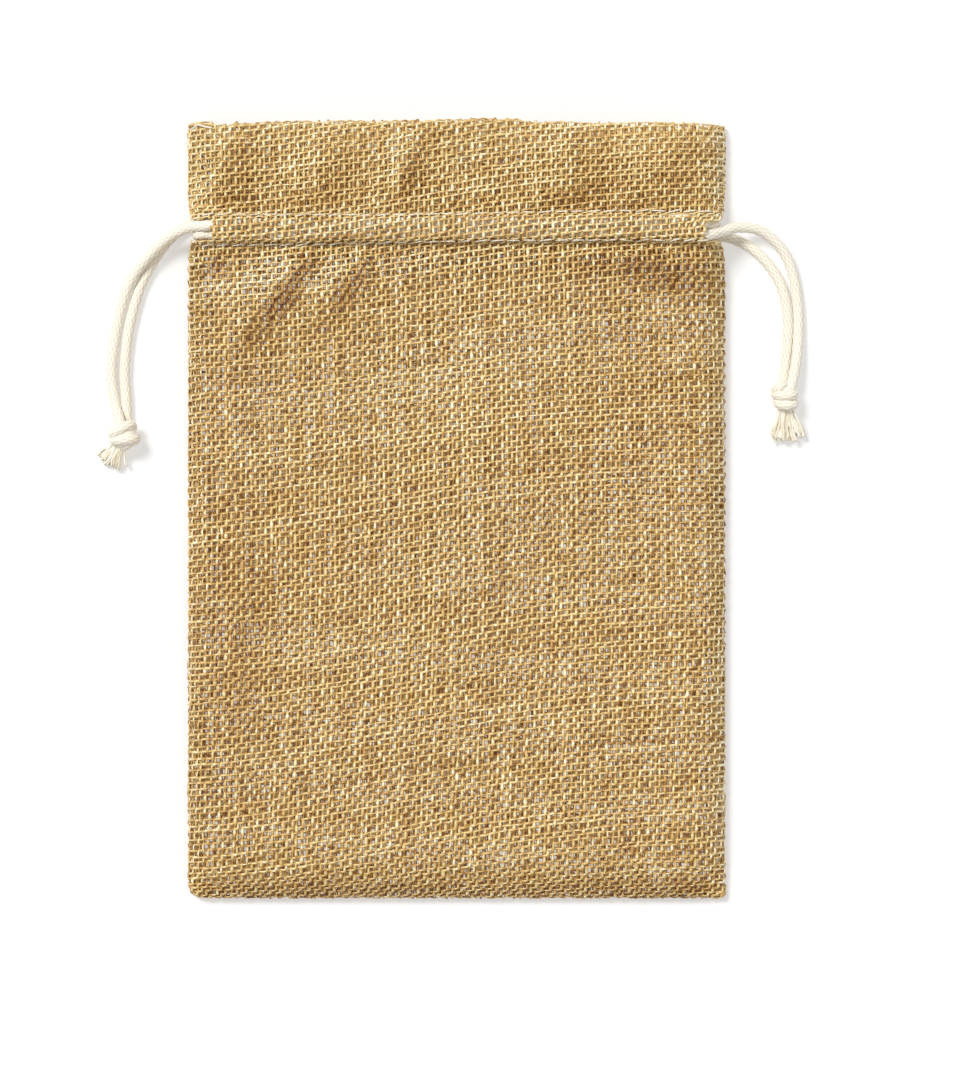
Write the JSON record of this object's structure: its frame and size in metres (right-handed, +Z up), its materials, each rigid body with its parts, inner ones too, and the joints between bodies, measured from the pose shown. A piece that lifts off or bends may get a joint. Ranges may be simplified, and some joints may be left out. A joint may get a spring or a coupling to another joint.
{
  "type": "drawstring gift pouch",
  "caption": "Flat woven gift pouch with a frilled mouth, a stitched channel, and opposed drawstrings knotted at each side that draw the mouth closed.",
  "frame": {"origin": "under the middle of the cloth, on the surface that the back panel lies on", "axes": "+X towards the right side seam, +Y towards the mouth, +Z up, out of the front panel"},
  "size_m": [0.1326, 0.1446, 0.011],
  "materials": {
    "jute_cloth": "matte",
    "sewing_thread": "satin",
    "cotton_cord": "matte"
  },
  "bodies": {
    "root": {"front_panel": "jute_cloth", "back_panel": "jute_cloth", "left_side_seam": "sewing_thread", "right_side_seam": "sewing_thread", "bottom_seam": "sewing_thread", "front_upper_stitching": "sewing_thread", "front_lower_stitching": "sewing_thread", "back_upper_stitching": "sewing_thread", "back_lower_stitching": "sewing_thread"},
    "left_drawstring": {"left_drawstring": "cotton_cord", "left_knot": "cotton_cord", "left_tassel": "cotton_cord"},
    "right_drawstring": {"right_drawstring": "cotton_cord", "right_knot": "cotton_cord", "right_tassel": "cotton_cord"},
    "left_mouth": {"left_mouth_seam": "sewing_thread"},
    "right_mouth": {"right_mouth_seam": "sewing_thread"}
  },
  "joints": [
    {"name": "left_drawstring_pull", "type": "slide", "parent": "root", "child": "left_drawstring", "axis": [-1, 0, 0], "range_m": [0, 0.024], "deforming": ["front_panel", "back_panel", "front_upper_stitching", "front_lower_stitching", "back_upper_stitching", "back_lower_stitching"]},
    {"name": "right_drawstring_pull", "type": "slide", "parent": "root", "child": "right_drawstring", "axis": [1, 0, 0], "range_m": [0, 0.024], "deforming": ["front_panel", "back_panel", "front_upper_stitching", "front_lower_stitching", "back_upper_stitching", "back_lower_stitching"]},
    {"name": "right_mouth_gather", "type": "slide", "parent": "root", "child": "right_mouth", "axis": [-1, 0, 0], "range_m": [0, 0.024]},
    {"name": "left_mouth_gather", "type": "slide", "parent": "root", "child": "left_mouth", "axis": [1, 0, 0], "range_m": [0, 0.024]}
  ],
  "couplings": [
    {"joint": "right_mouth_gather", "follows": "left_drawstring_pull", "ratio": 1},
    {"joint": "left_mouth_gather", "follows": "right_drawstring_pull", "ratio": 1}
  ]
}
